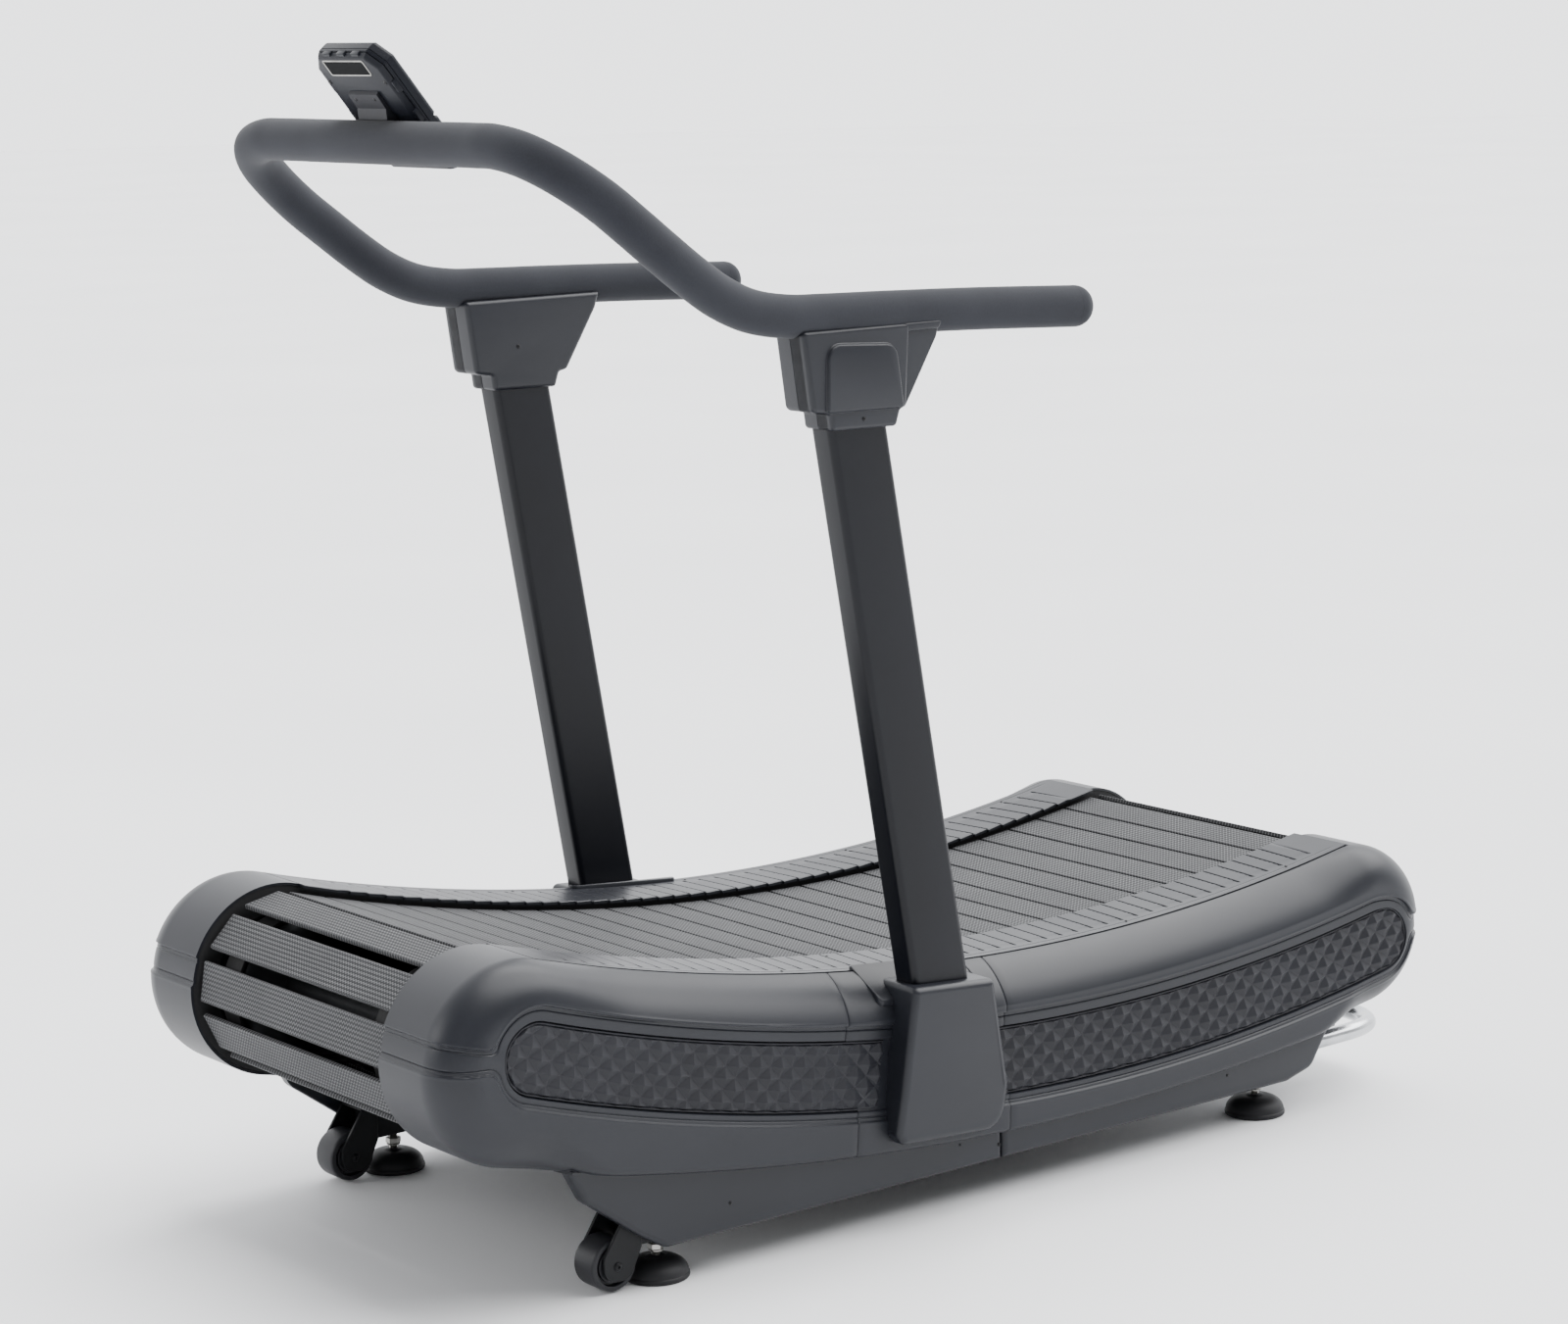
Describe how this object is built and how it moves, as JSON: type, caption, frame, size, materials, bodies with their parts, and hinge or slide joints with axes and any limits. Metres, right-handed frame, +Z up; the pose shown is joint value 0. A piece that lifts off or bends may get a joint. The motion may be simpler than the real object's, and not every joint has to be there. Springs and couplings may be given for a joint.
{
  "type": "curved manual treadmill",
  "caption": "Curved manual treadmill: a slat belt runs round two drums in a curved frame with side covers, raked uprights, a U-shaped foam handlebar and a small console.",
  "frame": {"origin": "centre of the bounding box footprint, on the floor", "axes": "+Z up, -Y towards the console end, +Y towards the tail, +X to the user's left"},
  "size_m": [0.848, 1.7533, 1.5935],
  "materials": {
    "cover_plastic": "fine satin moulded grain, charcoal grey",
    "inlay_plastic": "moulded pyramid relief, satin",
    "grip_foam": "matte closed-cell foam with fine pores",
    "screen": "dark window",
    "lift_tube": "plated bent tube",
    "black_steel": "satin black powder coat",
    "frame_steel": "black powder coat",
    "slat": "rubber-faced aluminium slats with a small embossed pattern",
    "drum": "machined drum with wide pulleys",
    "wheel_rubber": "solid black roller",
    "foot_rubber": "black domed pad on a zinc stud",
    "button_rubber": "soft keys"
  },
  "bodies": {
    "base": {"left_frame_rail": "frame_steel", "right_frame_rail": "frame_steel", "left_side_plate": "frame_steel", "right_side_plate": "frame_steel", "left_roller_rail": "frame_steel", "right_roller_rail": "frame_steel", "left_front_cover": "cover_plastic", "right_front_cover": "cover_plastic", "left_mid_cover": "cover_plastic", "right_mid_cover": "cover_plastic", "left_rear_cover": "cover_plastic", "right_rear_cover": "cover_plastic", "left_foot_strip": "cover_plastic", "right_foot_strip": "cover_plastic", "left_front_skirt": "cover_plastic", "right_front_skirt": "cover_plastic", "left_rear_skirt": "cover_plastic", "right_rear_skirt": "cover_plastic", "left_front_inlay": "inlay_plastic", "right_front_inlay": "inlay_plastic", "left_rear_inlay": "inlay_plastic", "right_rear_inlay": "inlay_plastic", "left_upright": "black_steel", "right_upright": "black_steel", "left_upright_boot": "cover_plastic", "right_upright_boot": "cover_plastic", "left_bracket_outer_shell": "cover_plastic", "right_bracket_outer_shell": "cover_plastic", "left_bracket_inner_shell": "cover_plastic", "right_bracket_inner_shell": "cover_plastic", "left_grip_cap": "grip_foam", "right_grip_cap": "grip_foam", "left_wheel_fork": "black_steel", "right_wheel_fork": "black_steel", "front_cross_beam": "frame_steel", "mid_cross_beam": "frame_steel", "rear_cross_beam": "frame_steel", "handlebar_tube": "frame_steel", "handlebar_foam": "grip_foam", "console_back_shell": "cover_plastic", "console_front_shell": "cover_plastic", "console_screen": "screen", "console_bracket": "cover_plastic", "console_clamp": "cover_plastic", "rear_lift_handle": "lift_tube"},
    "top_run": {"belt_top_run": "slat"},
    "front_wrap": {"belt_front_wrap": "slat", "front_drum": "drum"},
    "rear_wrap": {"belt_rear_wrap": "slat", "rear_drum": "drum"},
    "lower_run": {"belt_lower_run": "slat"},
    "left_wheel": {"left_transport_wheel": "wheel_rubber"},
    "right_wheel": {"right_transport_wheel": "wheel_rubber"},
    "left_front_level": {"left_front_foot": "foot_rubber"},
    "left_rear_level": {"left_rear_foot": "foot_rubber"},
    "right_front_level": {"right_front_foot": "foot_rubber"},
    "right_rear_level": {"right_rear_foot": "foot_rubber"},
    "button_left": {"console_button_left": "button_rubber"},
    "button_middle": {"console_button_middle": "button_rubber"},
    "button_right": {"console_button_right": "button_rubber"}
  },
  "joints": [
    {"name": "belt_travel", "type": "hinge", "parent": "base", "child": "top_run", "pos_m": [0, 0.19744, 3.51862], "axis": [1, 0, 0], "range_deg": [-0.54, 0.54]},
    {"name": "front_drum_turn", "type": "hinge", "parent": "base", "child": "front_wrap", "pos_m": [0, -0.7445, 0.334], "axis": [1, 0, 0], "range_deg": [-17.6, 17.6]},
    {"name": "rear_drum_turn", "type": "hinge", "parent": "base", "child": "rear_wrap", "pos_m": [0, 0.7555, 0.256], "axis": [1, 0, 0], "range_deg": [-19.8, 19.8]},
    {"name": "return_travel", "type": "hinge", "parent": "base", "child": "lower_run", "pos_m": [0, 0.18411, 4.30589], "axis": [1, 0, 0], "range_deg": [-0.415, 0.415]},
    {"name": "left_wheel_spin", "type": "hinge", "parent": "base", "child": "left_wheel", "pos_m": [0.317, -0.6, 0.038], "axis": [1, 0, 0], "continuous": true},
    {"name": "right_wheel_spin", "type": "hinge", "parent": "base", "child": "right_wheel", "pos_m": [-0.317, -0.6, 0.038], "axis": [1, 0, 0], "continuous": true},
    {"name": "left_front_foot_height", "type": "slide", "parent": "base", "child": "left_front_level", "axis": [0, 0, -1], "range_m": [-0.005, 0.012]},
    {"name": "left_rear_foot_height", "type": "slide", "parent": "base", "child": "left_rear_level", "axis": [0, 0, -1], "range_m": [-0.005, 0.012]},
    {"name": "right_front_foot_height", "type": "slide", "parent": "base", "child": "right_front_level", "axis": [0, 0, -1], "range_m": [-0.005, 0.012]},
    {"name": "right_rear_foot_height", "type": "slide", "parent": "base", "child": "right_rear_level", "axis": [0, 0, -1], "range_m": [-0.005, 0.012]},
    {"name": "button_left_press", "type": "slide", "parent": "base", "child": "button_left", "axis": [0, -0.7826, -0.6225], "range_m": [0, 0.0015], "stiffness_N_per_m": 400, "springref_m": -0.0008},
    {"name": "button_middle_press", "type": "slide", "parent": "base", "child": "button_middle", "axis": [0, -0.7826, -0.6225], "range_m": [0, 0.0015], "stiffness_N_per_m": 400, "springref_m": -0.0008},
    {"name": "button_right_press", "type": "slide", "parent": "base", "child": "button_right", "axis": [0, -0.7826, -0.6225], "range_m": [0, 0.0015], "stiffness_N_per_m": 400, "springref_m": -0.0008}
  ],
  "couplings": [
    {"joint": "front_drum_turn", "follows": "belt_travel", "ratio": -32.545},
    {"joint": "rear_drum_turn", "follows": "belt_travel", "ratio": -36.614},
    {"joint": "return_travel", "follows": "belt_travel", "ratio": -0.77118}
  ]
}
